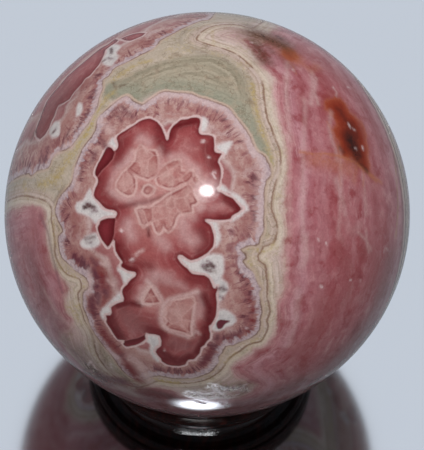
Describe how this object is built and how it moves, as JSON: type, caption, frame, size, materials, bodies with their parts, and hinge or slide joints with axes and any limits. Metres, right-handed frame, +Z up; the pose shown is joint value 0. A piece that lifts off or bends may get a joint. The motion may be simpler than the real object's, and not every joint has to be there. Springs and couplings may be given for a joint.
{
  "type": "rhodochrosite sphere on ring stand",
  "caption": "Polished sphere of pink banded rhodochrosite with red crystal-centred rosettes, resting on a low dark turned wooden ring stand for display.",
  "frame": {"origin": "centre of the circle on which the stand rests, on the surface it stands on", "axes": "+Z up through the centres of the stand and the sphere; -Y is the front, and the side with the large double rosette leans up and to the front"},
  "size_m": [0.066, 0.066, 0.0708],
  "materials": {
    "polished_stone": "banded pink rhodochrosite, ground and polished to a gloss",
    "dark_wood": "dark red-brown hardwood, turned and lacquered to a gloss"
  },
  "bodies": {
    "root": {"rhodochrosite_sphere": "polished_stone", "ring_stand": "dark_wood"}
  },
  "joints": []
}
